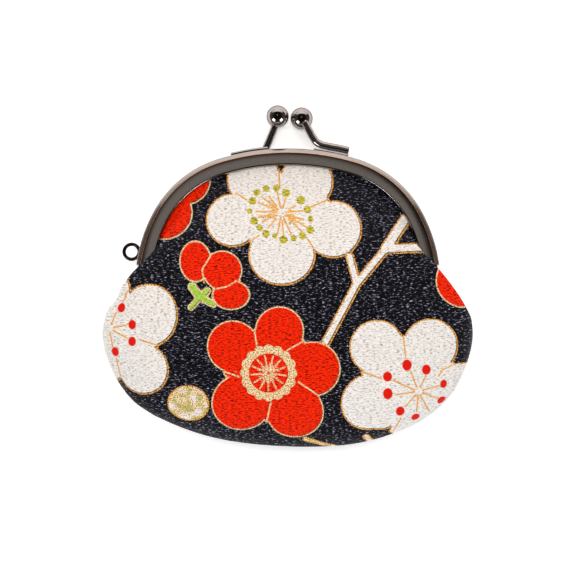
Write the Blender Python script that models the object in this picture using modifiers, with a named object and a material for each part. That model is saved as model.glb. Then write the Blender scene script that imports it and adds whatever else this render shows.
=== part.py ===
"""Clasp coin purse: a cloth bag on a folded metal frame that snaps shut with two balls.

Lengths are metres and +Z is up. The purse lies on its back, so its clasp points along +Y
and its front faces up. Its pieces are modelled in the purse's own axes: X across, Y from
the ends of the frame's legs towards the clasp, Z from the plane where the two halves of
the frame meet towards the front. The empty purse_pose then lays it down.
"""

import math

import bmesh
import bpy
from mathutils import Matrix, Vector

# Frame: two halves, each a sheet folded to a channel and bent to an arch
FRAME_WIDTH = 0.0996        # across the outside of the legs, at their ends
FRAME_DEPTH = 0.0095        # front face to back face, closed
CHANNEL_HEIGHT = 0.0059     # from the arch's outside to the lip that grips the cloth
SHEET = 0.0007              # thickness of the sheet metal
SHOULDER = 0.0016           # sloped band between the outside and the face, each way
SHOULDER_SLOPE_DEGREES = 45
LIP_ROUND = 0.0004
HALF_GAP = 0.0003           # between the two closed halves
ARCH_STEPS = 40             # straight runs along a swept arch

# One side of the arch, from its top down: arcs that follow each other without a corner
ARCH = [
    # radius as a share of half the frame's width, sweep in degrees
    {"radius": 1.565, "sweep": 17.0},
    {"radius": 0.728, "sweep": 46.0},
    {"radius": 1.034, "sweep": 20.0},
]

# Clasp: a ball on a stem, whose foot is soldered on the outside of the arch
BALL_DIAMETER = 0.0074
STEM_DIAMETER = 0.0019
STEM_OUT = 0.0017           # stem's middle from the plane where the halves meet
BALL_CROSS = 0.0005         # each ball's middle lies this far past that plane
FOOT_WIDTH = 0.0024
SOLDER = 0.0002             # how far soldered pieces run into each other

# The front half's arm leaves the frame at the right, the back half's at the left. Each
# stem comes down from its ball to its tail, and a bend's place on the way is a share of
# the distance across and of the height between the two.
CLASP = {
    "front": {
        "side": 1, "ball_x": 0.0046, "ball_rise": 0.0108, "tail_x": 0.0129,
        "tail_over_foot": True, "foot_start": 0.0085, "foot_end": 0.0199, "foot_height": 0.0014,
        "bends": [
            {"across": 0.120, "rise": 0.815},
            {"across": 0.290, "rise": 0.530},
            {"across": 0.434, "rise": 0.300},
            {"across": 0.614, "rise": 0.110},
        ],
    },
    "back": {
        "side": -1, "ball_x": 0.0034, "ball_rise": 0.0113, "tail_x": 0.0076,
        "tail_over_foot": False, "foot_start": 0.0066, "foot_end": 0.0187, "foot_height": 0.0011,
        "bends": [
            {"across": 0.120, "rise": 0.810},
            {"across": 0.357, "rise": 0.588},
            {"across": 0.667, "rise": 0.293},
        ],
    },
}

# Strap loop soldered to the left leg of the back half
LOOP_DIAMETER = 0.0062      # over the wire
LOOP_WIRE = 0.0011
LOOP_PLACE = 0.936          # share of the way down the leg

# Hinge at each leg's end
RIVET_DIAMETER = 0.0016
RIVET_CLEARANCE = 0.0003
RIVET_HEAD_DIAMETER = 0.0030
RIVET_HEAD_HEIGHT = 0.0005
EAR_DIAMETER = 0.0044
EAR_DROP = 0.0030           # rivet's middle below the channel's end
EAR_ROOT = 0.0030           # length of the ear soldered inside the channel
EAR_STEPS = 10

# Cloth bag
BAG_WIDTH = 0.1238
BAG_DROP = 0.0600           # from the legs' ends to the bottom seam
BELLY = 0.0190              # front panel's highest point above the frame's middle plane
CLOTH = 0.0010              # crepe, interfacing and lining together
CLOTH_CLEARANCE = 0.0003    # to the metal
CLOTH_EDGE = 0.0024         # cloth's edge from the arch's outside
SEAM_GAP = 0.0004           # between the two panels' edges
BOTTOM_LEAN = -0.040        # slope of the bottom seam, a little lower at the right

# How the purse lies on its back
REST_TILT_DEGREES = 6.5

# One rib of a panel in each row, from the middle to the right hinge. A rib runs from the
# channel over a crest to the seam.
RIBS = [
    # arch: share of the arch's length; crest and seam: x as a share of half the bag's
    # width, y as a share of the bag's drop; height: share of the belly
    {"arch": 0.000, "crest_x": 0.000, "crest_y": -0.30, "height": 1.000,
     "seam_x": 0.000, "seam_y": -0.992},
    {"arch": 0.128, "crest_x": 0.165, "crest_y": -0.30, "height": 0.990,
     "seam_x": 0.215, "seam_y": -0.985},
    {"arch": 0.257, "crest_x": 0.330, "crest_y": -0.30, "height": 0.955,
     "seam_x": 0.420, "seam_y": -0.955},
    {"arch": 0.385, "crest_x": 0.485, "crest_y": -0.29, "height": 0.890,
     "seam_x": 0.615, "seam_y": -0.885},
    {"arch": 0.514, "crest_x": 0.610, "crest_y": -0.27, "height": 0.800,
     "seam_x": 0.790, "seam_y": -0.790},
    {"arch": 0.628, "crest_x": 0.710, "crest_y": -0.22, "height": 0.690,
     "seam_x": 0.898, "seam_y": -0.660},
    {"arch": 0.728, "crest_x": 0.775, "crest_y": -0.15, "height": 0.590,
     "seam_x": 0.966, "seam_y": -0.500},
    {"arch": 0.813, "crest_x": 0.815, "crest_y": -0.08, "height": 0.500,
     "seam_x": 0.995, "seam_y": -0.345},
    {"arch": 0.884, "crest_x": 0.815, "crest_y": -0.03, "height": 0.425,
     "seam_x": 0.945, "seam_y": -0.215},
    {"arch": 0.934, "crest_x": 0.775, "crest_y": -0.045, "height": 0.350,
     "seam_x": 0.840, "seam_y": -0.145},
    {"arch": 0.970, "crest_x": 0.700, "crest_y": -0.045, "height": 0.200,
     "seam_x": 0.715, "seam_y": -0.088},
]
TO_CREST = (0.34, 0.67, 1.0)        # where a rib's rows lie between lip and crest
TO_SEAM = (0.28, 0.56, 0.82, 1.0)   # and between crest and seam
LIP_IN = 0.14                       # how a rib leaves the lip, as shares of its rise
LIP_UP = 0.55
CREST_REACH = 0.42                  # how long it stays level at its crest, each way
SEAM_UP = 0.55                      # how upright it comes down to the seam

SIDE_NAMES = {-1: "left", 1: "right"}

rest_tilt = math.radians(REST_TILT_DEGREES)
half_width = FRAME_WIDTH / 2
half_depth = FRAME_DEPTH / 2
groove = half_depth - SHEET - CLOTH_CLEARANCE
lip_turn = CHANNEL_HEIGHT + CLOTH_CLEARANCE + LIP_ROUND + CLOTH / 2
ear_stack = 2 * SHEET + RIVET_CLEARANCE


def clear_scene():
    for item in list(bpy.data.objects):
        bpy.data.objects.remove(item, do_unlink=True)


def collection(name):
    group = bpy.data.collections.new(name)
    bpy.context.scene.collection.children.link(group)
    return group


def material(name, color, metallic, roughness):
    made = bpy.data.materials.new(name)
    made.use_nodes = True
    surface = made.node_tree.nodes["Principled BSDF"]
    surface.inputs["Base Color"].default_value = (*color, 1)
    surface.inputs["Metallic"].default_value = metallic
    surface.inputs["Roughness"].default_value = roughness
    return made


def arch_table():
    """The arcs with their real radii: the shares are scaled to the frame's half width."""
    reach = 0
    turned = 0
    for arc in ARCH:
        start = math.radians(turned)
        turned += arc["sweep"]
        reach += arc["radius"] * (math.sin(math.radians(turned)) - math.sin(start))
    scale = half_width / reach
    return [(arc["radius"] * scale, math.radians(arc["sweep"])) for arc in ARCH]


def arch_length():
    return sum(radius * sweep for radius, sweep in arch_table())


def arch_height():
    height = 0
    turned = 0
    for radius, sweep in arch_table():
        height += radius * (math.cos(turned) - math.cos(turned + sweep))
        turned += sweep
    return height


def arch_point(share):
    """Point on the arch's outside and the outward normal, share -1 to 1 from left to right."""
    left = abs(share) * arch_length()
    x = 0
    y = arch_height()
    turned = 0
    for radius, sweep in arch_table():
        step = min(sweep, left / radius)
        x += radius * (math.sin(turned + step) - math.sin(turned))
        y -= radius * (math.cos(turned) - math.cos(turned + step))
        turned += step
        left -= radius * step
        if left <= 1e-9:
            break
    side = -1 if share < 0 else 1
    return Vector((side * x, y, 0)), Vector((side * math.sin(turned), math.cos(turned), 0))


def mesh_object(name, mesh, group, parent):
    made = bpy.data.objects.new(name, mesh)
    group.objects.link(made)
    made.parent = parent
    return made


def curve_to_mesh(curve, group, parent):
    """Turn a curve into a mesh with closed ends and put it in the curve's place."""
    bpy.context.view_layer.update()
    shape = curve.evaluated_get(bpy.context.evaluated_depsgraph_get())
    mesh = bpy.data.meshes.new_from_object(shape)
    edit = bmesh.new()
    edit.from_mesh(mesh)
    bmesh.ops.remove_doubles(edit, verts=edit.verts, dist=1e-6)
    bmesh.ops.recalc_face_normals(edit, faces=edit.faces)
    edit.to_mesh(mesh)
    edit.free()
    mesh.shade_smooth()
    mesh.set_sharp_from_angle(angle=math.radians(30))
    made = bpy.data.objects.new(curve.name + "_mesh", mesh)
    group.objects.link(made)
    made.matrix_world = curve.matrix_world
    made.parent = parent
    bpy.data.objects.remove(curve, do_unlink=True)
    return made


def poly_curve(name, points, closed=False):
    data = bpy.data.curves.new(name, "CURVE")
    data.dimensions = "3D"
    data.twist_mode = "Z_UP"
    spline = data.splines.new("POLY")
    spline.points.add(len(points) - 1)
    for place, point in zip(spline.points, points):
        place.co = (*point, 1)
    spline.use_cyclic_u = closed
    return data


def arch_sweep(name, section, start, end, group, parent):
    """Sweep a section of (height over the arch's outside, z) points along the arch."""
    steps = max(6, round(ARCH_STEPS * (end - start) / 2))
    route = []
    for step in range(steps + 1):
        route.append(arch_point(start + (end - start) * step / steps)[0])
    outline = poly_curve(name + "_profile", [(-n, z, 0) for n, z in section], True)
    profile = bpy.data.objects.new(name + "_profile", outline)
    profile.data.dimensions = "2D"
    group.objects.link(profile)
    data = poly_curve(name + "_route", route)
    data.bevel_mode = "OBJECT"
    data.bevel_object = profile
    data.use_fill_caps = True
    curve = bpy.data.objects.new(name, data)
    group.objects.link(curve)
    made = curve_to_mesh(curve, group, parent)
    bpy.data.objects.remove(profile, do_unlink=True)
    return made


def channel_section(half):
    """Outline of one half's folded sheet, as (height over the outside, z)."""
    inner = HALF_GAP / 2
    face = half_depth
    fold = SHOULDER - SHEET * math.tan(math.radians(SHOULDER_SLOPE_DEGREES) / 2)
    points = [
        (0, inner),
        (0, face - SHOULDER),
        (-SHOULDER, face),
        (-CHANNEL_HEIGHT + LIP_ROUND, face),
        (-CHANNEL_HEIGHT, face - LIP_ROUND),
        (-CHANNEL_HEIGHT, face - SHEET),
        (-SHEET - fold, face - SHEET),
        (-SHEET, face - SHEET - fold),
        (-SHEET, inner + SHEET),
        (-CHANNEL_HEIGHT + LIP_ROUND, inner + SHEET),
        (-CHANNEL_HEIGHT + LIP_ROUND, inner),
    ]
    return [(n, z if half == "front" else -z) for n, z in points]


def half_frame(name, half, parts, tools, parent):
    """One channel with its clasp arm, hinge ears and, on the back half, the strap loop."""
    frame = arch_sweep(name, channel_section(half), -1, 1, parts, parent)
    frame.name = name
    pieces = clasp_arm(name, half, tools, parent)
    for side in (-1, 1):
        pieces.append(hinge_ear(name, half, side, tools, parent))
    if half == "back":
        pieces.append(strap_loop(name, tools, parent))
    for piece in pieces:
        join(frame, piece, "UNION")
    for side in (-1, 1):
        join(frame, rivet_hole(name, side, tools, parent), "DIFFERENCE")
    return frame


def join(frame, piece, operation):
    piece.hide_render = True
    piece.display_type = "WIRE"
    cut = frame.modifiers.new(piece.name, "BOOLEAN")
    cut.operation = operation
    cut.solver = "EXACT"
    cut.object = piece


def share_at(x):
    """Share of the arch whose outside lies x from the middle, on the top arc."""
    radius = arch_table()[0][0]
    return radius * math.asin(x / radius) / arch_length()


def clasp_arm(name, half, group, parent):
    """Foot strip along the outside of the arch, bent stem and ball, to be soldered on."""
    arm = CLASP[half]
    side = arm["side"]
    out = STEM_OUT if half == "front" else -STEM_OUT
    low = out - FOOT_WIDTH / 2
    high = out + FOOT_WIDTH / 2
    top = arm["foot_height"]
    section = [(-SOLDER, low), (-SOLDER, high), (top, high), (top, low)]
    ends = sorted((side * share_at(arm["foot_start"]), side * share_at(arm["foot_end"])))
    foot = arch_sweep(name + "_foot", section, ends[0], ends[1], group, parent)

    lift = top + STEM_DIAMETER / 2 - SOLDER if arm["tail_over_foot"] else top / 2
    tail_start, outward = arch_point(share_at(arm["tail_x"]))
    tail_start += outward * lift
    ball_y = arch_height() + arm["ball_rise"]
    route = []
    for bend in arm["bends"]:
        x = arm["ball_x"] + bend["across"] * (tail_start.x - arm["ball_x"])
        y = tail_start.y + bend["rise"] * (ball_y - tail_start.y)
        route.append((x, y))
    route.append((tail_start.x, tail_start.y))
    if arm["tail_over_foot"]:
        for way in (0.5, 0.97):
            x = arm["tail_x"] + way * (arm["foot_end"] - arm["tail_x"])
            place, outward = arch_point(share_at(x))
            place += outward * lift
            route.append((place.x, place.y))

    data = bpy.data.curves.new(name + "_stem", "CURVE")
    data.dimensions = "3D"
    data.bevel_depth = STEM_DIAMETER / 2
    data.bevel_resolution = 2
    data.use_fill_caps = True
    data.resolution_u = 3
    spline = data.splines.new("BEZIER")
    spline.bezier_points.add(len(route) - 1)
    for place, (x, y) in zip(spline.bezier_points, route):
        place.co = (side * x, y, out)
        place.handle_left_type = "AUTO"
        place.handle_right_type = "AUTO"
    curve = bpy.data.objects.new(name + "_stem", data)
    group.objects.link(curve)
    stem = curve_to_mesh(curve, group, parent)

    edit = bmesh.new()
    bmesh.ops.create_uvsphere(edit, u_segments=16, v_segments=10, radius=BALL_DIAMETER / 2)
    mesh = bpy.data.meshes.new(name + "_ball")
    edit.to_mesh(mesh)
    edit.free()
    mesh.shade_smooth()
    ball = mesh_object(name + "_ball", mesh, group, parent)
    cross = -BALL_CROSS if half == "front" else BALL_CROSS
    ball.location = (side * arm["ball_x"], ball_y, cross)
    return [foot, stem, ball]


def hinge_line(side):
    """Middle of the hinge at one leg: the two ears lie one inside the other along X."""
    return Vector((side * half_width, -EAR_DROP, 0))


def hinge_ear(name, half, side, group, parent):
    """Plate with a round end, soldered inside the channel's end and reaching the rivet."""
    pivot = hinge_line(side)
    radius = EAR_DIAMETER / 2
    outline = []
    for step in range(EAR_STEPS + 1):
        angle = math.radians(200 * step / EAR_STEPS - 10)
        outline.append((-math.cos(angle) * radius, -math.sin(angle) * radius))
    reach = half_depth - SHOULDER - SOLDER
    inside = HALF_GAP / 2 + SHEET - SOLDER
    root_top = EAR_DROP + EAR_ROOT
    outline += [(reach, EAR_DROP), (reach, root_top), (inside, root_top), (inside, EAR_DROP)]
    toward = 1 if half == "front" else -1
    layer = 1 if half == "front" else 2
    outer = pivot.x - side * (layer * SHEET + (layer - 1) * RIVET_CLEARANCE)
    edit = bmesh.new()
    ring = [edit.verts.new((outer, pivot.y + y, toward * z)) for z, y in outline]
    face = edit.faces.new(ring)
    grown = bmesh.ops.extrude_face_region(edit, geom=[face])
    moved = [item for item in grown["geom"] if isinstance(item, bmesh.types.BMVert)]
    bmesh.ops.translate(edit, verts=moved, vec=(-side * SHEET, 0, 0))
    bmesh.ops.recalc_face_normals(edit, faces=edit.faces)
    mesh = bpy.data.meshes.new(name + "_ear")
    edit.to_mesh(mesh)
    edit.free()
    return mesh_object(name + "_ear_" + SIDE_NAMES[side], mesh, group, parent)


def cylinder(name, radius, length, middle, group, parent):
    """Cylinder along X."""
    edit = bmesh.new()
    bmesh.ops.create_cone(edit, cap_ends=True, segments=16, radius1=radius, radius2=radius,
                          depth=length, matrix=Matrix.Rotation(math.pi / 2, 4, "Y"))
    mesh = bpy.data.meshes.new(name)
    edit.to_mesh(mesh)
    edit.free()
    made = mesh_object(name, mesh, group, parent)
    made.location = middle
    return made


def rivet_hole(name, side, group, parent):
    middle = hinge_line(side) - Vector((side * (SHEET + ear_stack / 2), 0, 0))
    radius = RIVET_DIAMETER / 2 + RIVET_CLEARANCE
    label = name + "_hole_" + SIDE_NAMES[side]
    return cylinder(label, radius, 2 * ear_stack, middle, group, parent)


def rivet(name, side, parts, tools, parent):
    """Shank through both ears with a flat head at each end."""
    middle = hinge_line(side) - Vector((side * (SHEET + ear_stack / 2), 0, 0))
    grip = ear_stack + 2 * RIVET_CLEARANCE
    made = cylinder(name, RIVET_DIAMETER / 2, grip + RIVET_HEAD_HEIGHT, middle, parts, parent)
    for end in (-1, 1):
        place = middle + Vector((end * (grip + RIVET_HEAD_HEIGHT) / 2, 0, 0))
        label = name + ("_inner_head" if end == -side else "_outer_head")
        head = cylinder(label, RIVET_HEAD_DIAMETER / 2, RIVET_HEAD_HEIGHT, place, tools, parent)
        join(made, head, "UNION")
    return made


def strap_loop(name, group, parent):
    """Wire ring lying in the frame's plane, its inner side soldered to the left leg."""
    place, outward = arch_point(-LOOP_PLACE)
    ring = (LOOP_DIAMETER - LOOP_WIRE) / 2
    middle = place + outward * (LOOP_DIAMETER / 2 - 2 * SOLDER)
    bpy.ops.mesh.primitive_torus_add(
        major_segments=20, minor_segments=8, major_radius=ring, minor_radius=LOOP_WIRE / 2
    )
    made = bpy.context.object
    made.name = name + "_strap_loop"
    for holder in list(made.users_collection):
        holder.objects.unlink(made)
    group.objects.link(made)
    made.parent = parent
    made.location = (middle.x, middle.y, -STEM_OUT)
    return made


def bezier(points, share):
    a, b, c, d = points
    rest = 1 - share
    return (a * rest ** 3 + b * 3 * rest ** 2 * share + c * 3 * rest * share ** 2
            + d * share ** 3)


def rest_height():
    """Height of the frame's middle plane over the table at the legs' ends."""
    ball = arch_height() + CLASP["front"]["ball_rise"]
    return (BALL_DIAMETER / 2 + BALL_CROSS * math.cos(rest_tilt)
            + ball * math.sin(rest_tilt))


def table_depth(y):
    """Depth of the table below the frame's middle plane, in the purse's own axes."""
    return (rest_height() - y * math.sin(rest_tilt)) / math.cos(rest_tilt)


def rib_points(rib, side):
    """One rib of the front panel's outside, from the channel to the seam."""
    place, outward = arch_point(side * rib["arch"])
    up = Vector((0, 0, 1))
    edge = place - outward * CLOTH_EDGE + up * groove
    grip = place - outward * (CHANNEL_HEIGHT - LIP_ROUND) + up * (groove - CLOTH_CLEARANCE)
    lip = place - outward * lip_turn + up * groove
    lean = BOTTOM_LEAN * side * rib["seam_x"] * BAG_WIDTH / 2 * (1 - rib["seam_x"] ** 2)
    seam = Vector((side * rib["seam_x"] * BAG_WIDTH / 2, rib["seam_y"] * BAG_DROP + lean,
                   SEAM_GAP / 2))
    crest = Vector((side * rib["crest_x"] * BAG_WIDTH / 2, rib["crest_y"] * BAG_DROP,
                    rib["height"] * BELLY))
    along = seam - lip
    along.z = 0
    along.normalize()
    rise = crest.z - lip.z
    fall = (seam - crest).length
    to_crest = (lip, lip - outward * rise * LIP_IN + up * rise * LIP_UP,
                crest - along * (crest - lip).length * CREST_REACH, crest)
    hem = seam + up * CLOTH
    to_seam = (crest, crest + along * fall * CREST_REACH, hem + up * crest.z * SEAM_UP, hem)
    points = [edge, grip, lip]
    points += [bezier(to_crest, share) for share in TO_CREST]
    points += [bezier(to_seam, share) for share in TO_SEAM]
    points.append(seam)
    return points


def panel(name, half, parts, parent):
    """Cage of ribs, smoothed and given the cloth's thickness towards the inside."""
    ribs = [rib_points(rib, -1) for rib in reversed(RIBS[1:])]
    ribs += [rib_points(rib, 1) for rib in RIBS]
    columns, rows = len(ribs), len(ribs[0])
    edit = bmesh.new()
    bmesh.ops.create_grid(edit, x_segments=columns - 1, y_segments=rows - 1, size=0.5)
    for vert in edit.verts:
        column = round((vert.co.x + 0.5) * (columns - 1))
        row = round((vert.co.y + 0.5) * (rows - 1))
        point = ribs[column][row].copy()
        if half == "back":
            point.z = -min(point.z, table_depth(point.y))
        vert.co = point
    if half == "front":
        bmesh.ops.reverse_faces(edit, faces=edit.faces)
    mesh = bpy.data.meshes.new(name)
    edit.to_mesh(mesh)
    edit.free()
    mesh.shade_smooth()
    made = mesh_object(name, mesh, parts, parent)
    smooth = made.modifiers.new("smooth", "SUBSURF")
    smooth.levels = 1
    smooth.render_levels = 1
    smooth.boundary_smooth = "PRESERVE_CORNERS"
    wall = made.modifiers.new("cloth", "SOLIDIFY")
    wall.thickness = CLOTH
    wall.offset = -1
    wall.use_even_offset = True
    return made


clear_scene()
purse = collection("clasp_coin_purse")
cutters = collection("cutters")

pose = bpy.data.objects.new("purse_pose", None)
purse.objects.link(pose)
ball_top = arch_height() + CLASP["back"]["ball_rise"] + BALL_DIAMETER / 2
pose.rotation_euler = (-rest_tilt, 0, 0)
pose.location = (0, (BAG_DROP - ball_top) / 2 * math.cos(rest_tilt), rest_height())

gunmetal = material("gunmetal_plate", (0.10, 0.095, 0.09), 1.0, 0.18)
crepe = material("navy_crepe", (0.008, 0.010, 0.016), 0.0, 0.85)

for half in ("front", "back"):
    frame = half_frame("frame_" + half, half, purse, cutters, pose)
    frame.data.materials.append(gunmetal)
for side, side_name in SIDE_NAMES.items():
    pin = rivet("hinge_rivet_" + side_name, side, purse, cutters, pose)
    pin.data.materials.append(gunmetal)
for half in ("front", "back"):
    panel("panel_" + half, half, purse, pose).data.materials.append(crepe)
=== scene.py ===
import math

import bmesh
import bpy
import numpy as np
from mathutils import Matrix, Vector, noise


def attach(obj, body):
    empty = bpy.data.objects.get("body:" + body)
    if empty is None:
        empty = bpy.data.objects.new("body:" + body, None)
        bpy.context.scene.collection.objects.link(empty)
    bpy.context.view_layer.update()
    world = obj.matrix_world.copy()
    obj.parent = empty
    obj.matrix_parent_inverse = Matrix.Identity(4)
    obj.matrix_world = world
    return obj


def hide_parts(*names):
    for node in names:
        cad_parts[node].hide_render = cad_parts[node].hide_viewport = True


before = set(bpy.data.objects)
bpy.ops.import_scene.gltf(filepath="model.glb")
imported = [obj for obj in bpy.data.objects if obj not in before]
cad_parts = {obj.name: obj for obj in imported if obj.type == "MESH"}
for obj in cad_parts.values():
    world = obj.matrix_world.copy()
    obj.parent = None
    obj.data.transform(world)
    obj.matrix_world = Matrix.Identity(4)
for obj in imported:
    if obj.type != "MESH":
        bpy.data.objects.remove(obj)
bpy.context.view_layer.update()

# Table, lights and camera
# The purse lies on a white board, with a white wall beyond the clasp. Two square soft
# lights stand at the near side of it, and the camera looks straight down.
BOARD_HALF = 0.26
BOARD_NEAR = 0.45
WALL_PLACE = 1.05
WALL_HEIGHT = 0.86
WALL_HALF = 1.3
CAMERA_PLACE = (0.00073, -0.0048, 0.71)
CAMERA_LENS = 131.7
LIGHTS = [  # name, place, where it looks, width, height, watts, colour, mirrored by the metal
    ("soft_light_left", (-0.80, -0.74, 0.70), (0, 0, 0), 0.55, 0.55, 6.4, "fdfeff", True),
    ("soft_light_right", (0.80, -0.74, 0.70), (0, 0, 0), 0.55, 0.55, 6.4, "fdfeff", True),
    ("wall_light", (0, 0.25, 1.50), (0, WALL_PLACE, 0.35), 1.40, 0.30, 15.0, "ffffff", False),
    ("fill_light", (0, 0.80, 1.10), (0, 0, 0), 1.20, 0.30, 4.0, "ffdcc0", False),
    ("ceiling_patch", (-0.03, 0.30, 1.30), (0, 0, 0), 0.24, 0.30, 0.10, "fff6f0", True),
]


def srgb(code):
    """Linear colour, with alpha 1, of an sRGB hex value such as 'd9a441'."""
    parts = [int(code[i:i + 2], 16) / 255 for i in (0, 2, 4)]
    return (*(p / 12.92 if p <= 0.04045 else ((p + 0.055) / 1.055) ** 2.4 for p in parts), 1.0)


def fill(tree, node, sockets):
    """Link or set a node's sockets, by name or number."""
    for key, value in sockets.items():
        if isinstance(value, bpy.types.NodeSocket):
            tree.links.new(value, node.inputs[key])
        else:
            node.inputs[key].default_value = value


def add(tree, kind, sockets, **settings):
    """Add one node with its settings by name, and fill its sockets."""
    made = tree.nodes.new(kind)
    for name, value in settings.items():
        setattr(made, name, value)
    fill(tree, made, sockets)
    return made


def new_material(name):
    """Material with an empty tree, and its tree and Principled shader."""
    made = bpy.data.materials.new(name)
    made.use_nodes = True
    made.node_tree.nodes.clear()
    shader = add(made.node_tree, "ShaderNodeBsdfPrincipled", {})
    add(made.node_tree, "ShaderNodeOutputMaterial", {"Surface": shader.outputs[0]})
    return made, made.node_tree, shader


# White acrylic over a light box: matt, and lit a little from below, so it hardly shows shadows
white_card, tree, shader = new_material("lit_white_acrylic")
fill(tree, shader, {"Base Color": srgb("f9f9f8"), "Roughness": 0.9, "Specular IOR Level": 0.2,
                    "Emission Color": (1, 1, 1, 1), "Emission Strength": 0.42})


def linked(name, data):
    """New object that holds data, linked to the scene."""
    made = bpy.data.objects.new(name, data)
    bpy.context.scene.collection.objects.link(made)
    return made


def stage_plane(name, corners):
    """Flat white stage piece, with its front face towards the purse."""
    mesh = bpy.data.meshes.new(name)
    mesh.from_pydata(corners, [], [(0, 1, 2, 3)])
    mesh.materials.append(white_card)
    linked(name, mesh)


stage_plane("white_board", [(-BOARD_HALF, -BOARD_NEAR, 0), (BOARD_HALF, -BOARD_NEAR, 0),
                            (BOARD_HALF, WALL_PLACE, 0), (-BOARD_HALF, WALL_PLACE, 0)])
stage_plane("white_wall", [(-WALL_HALF, WALL_PLACE, 0), (WALL_HALF, WALL_PLACE, 0),
                           (WALL_HALF, WALL_PLACE, WALL_HEIGHT),
                           (-WALL_HALF, WALL_PLACE, WALL_HEIGHT)])

for name, place, target, width, height, watts, color, mirrored in LIGHTS:
    data = bpy.data.lights.new(name, "AREA")
    data.shape = "RECTANGLE"
    data.size = width
    data.size_y = height
    data.energy = watts
    data.color = srgb(color)[:3]
    light = linked(name, data)
    light.location = place
    light.rotation_euler = (Vector(target) - Vector(place)).to_track_quat("-Z", "Y").to_euler()
    light.visible_glossy = mirrored

world = bpy.data.worlds.new("dim_room")
world.use_nodes = True
tree = world.node_tree
tree.nodes.clear()
way = add(tree, "ShaderNodeTexCoord", {})
parts = add(tree, "ShaderNodeSeparateXYZ", {"Vector": way.outputs["Generated"]})
height = add(tree, "ShaderNodeMapRange", {"Value": parts.outputs["Z"], "From Min": 0.15,
                                          "From Max": 0.85, "To Min": 0.0, "To Max": 1.0})
room = add(tree, "ShaderNodeMix", {"Factor": height.outputs["Result"], "A": srgb("6e655f"),
                                   "B": srgb("1a1613")}, data_type="RGBA")
sky = add(tree, "ShaderNodeBackground", {"Color": room.outputs["Result"], "Strength": 1.0})
add(tree, "ShaderNodeOutputWorld", {"Surface": sky.outputs[0]})
bpy.context.scene.world = world
bpy.context.scene.view_settings.view_transform = "Standard"

camera = linked("camera", bpy.data.cameras.new("camera"))
camera.location = CAMERA_PLACE
camera.data.lens = CAMERA_LENS
camera.data.sensor_width = 36
camera.data.clip_start = 0.01
camera.data.clip_end = 10
bpy.context.scene.camera = camera

# Frame halves
# Each half is a strip of steel sheet folded to a channel, bent to an arch and plated black
# nickel. A sloped shoulder runs between its outside and its face, and its lip is rolled in.
FRAME_WIDTH = 0.0996
FRAME_DEPTH = 0.0095
CHANNEL_HEIGHT = 0.0059
SHEET = 0.0007
SHOULDER = 0.0016  # sloped band between the outside and the face, seen from in front
SHOULDER_DEPTH = 0.0013
HALF_GAP = 0.0003
ARCH_MIDDLE_DROP = 0.02
REFLECTION_LEAN = 0.12  # share of a crease face's normal that leans outward where the painted reflection lies
CREASE_ROUND = 0.0004
BACK_ROUND = 0.0005
LIP_ROLL = 0.0007
EDGE_ROUND = 0.00012
INSIDE_ROUND = 0.0001
LIP_LAP = 0.00015
LIP_EDGE = 0.0005
INSIDE_SHOULDER = 0.75  # the shoulder's width inside the channel, as a share of it outside
FLANGE = 0.0055
ARCH = [  # radius as a share of half the frame's width, sweep in degrees
    {"radius": 1.565, "sweep": 17.0},
    {"radius": 0.728, "sweep": 46.0},
    {"radius": 1.034, "sweep": 20.0},
]
ARCH_STEPS = 260
MERGE = 1e-7
SHARP_ANGLE = math.radians(38)
REST_TILT = math.radians(6.5)
BALL_DIAMETER = 0.0074
BALL_CROSS = 0.0005
BALL_RISE = {"front": 0.0108, "back": 0.0113}
BAG_DROP = 0.0600


def arch_table():
    """The arcs with their real radii: the shares are scaled to the frame's half width."""
    reach = 0
    turned = 0
    for arc in ARCH:
        start = math.radians(turned)
        turned += arc["sweep"]
        reach += arc["radius"] * (math.sin(math.radians(turned)) - math.sin(start))
    scale = FRAME_WIDTH / 2 / reach
    return [(arc["radius"] * scale, math.radians(arc["sweep"])) for arc in ARCH]


arcs = arch_table()
arch_length = sum(radius * turn for radius, turn in arcs)
arch_height = 0
turned = 0
for radius, turn in arcs:
    arch_height += radius * (math.cos(turned) - math.cos(turned + turn))
    turned += turn


def arch_point(share):
    """Point on the arch's outside and the outward normal, share -1 to 1 from left to right."""
    left = abs(share) * arch_length
    x, y, turned = 0, arch_height, 0
    for radius, turn in arcs:
        step = min(turn, left / radius)
        x += radius * (math.sin(turned + step) - math.sin(turned))
        y -= radius * (math.cos(turned) - math.cos(turned + step))
        turned += step
        left -= radius * step
        if left <= 1e-9:
            break
    side = -1 if share < 0 else 1
    return Vector((side * x, y, 0)), Vector((side * math.sin(turned), math.cos(turned), 0))


rest_height = (BALL_DIAMETER / 2 + BALL_CROSS * math.cos(REST_TILT)
               + (arch_height + BALL_RISE["front"]) * math.sin(REST_TILT))
ball_top = arch_height + BALL_RISE["back"] + BALL_DIAMETER / 2
lying = (Matrix.Translation((0, (BAG_DROP - ball_top) / 2 * math.cos(REST_TILT), rest_height))
         @ Matrix.Rotation(-REST_TILT, 4, "X"))


def rounded(corners, steps=5):
    """Outline of (x, y, radius) corners with each corner turned into an arc."""
    outline = []
    for i, (x, y, radius) in enumerate(corners):
        here = Vector((x, y))
        before = (Vector(corners[i - 1][:2]) - here).normalized()
        after = (Vector(corners[(i + 1) % len(corners)][:2]) - here).normalized()
        if radius == 0:
            outline.append(here)
            continue
        half = before.angle(after) / 2
        reach = radius / math.tan(half)
        middle = here + (before + after).normalized() * (radius / math.sin(half))
        start = here + before * reach - middle
        end = here + after * reach - middle
        for step in range(steps + 1):
            way = start.slerp(end, step / steps).normalized() * radius
            outline.append(middle + way)
    return outline


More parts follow.
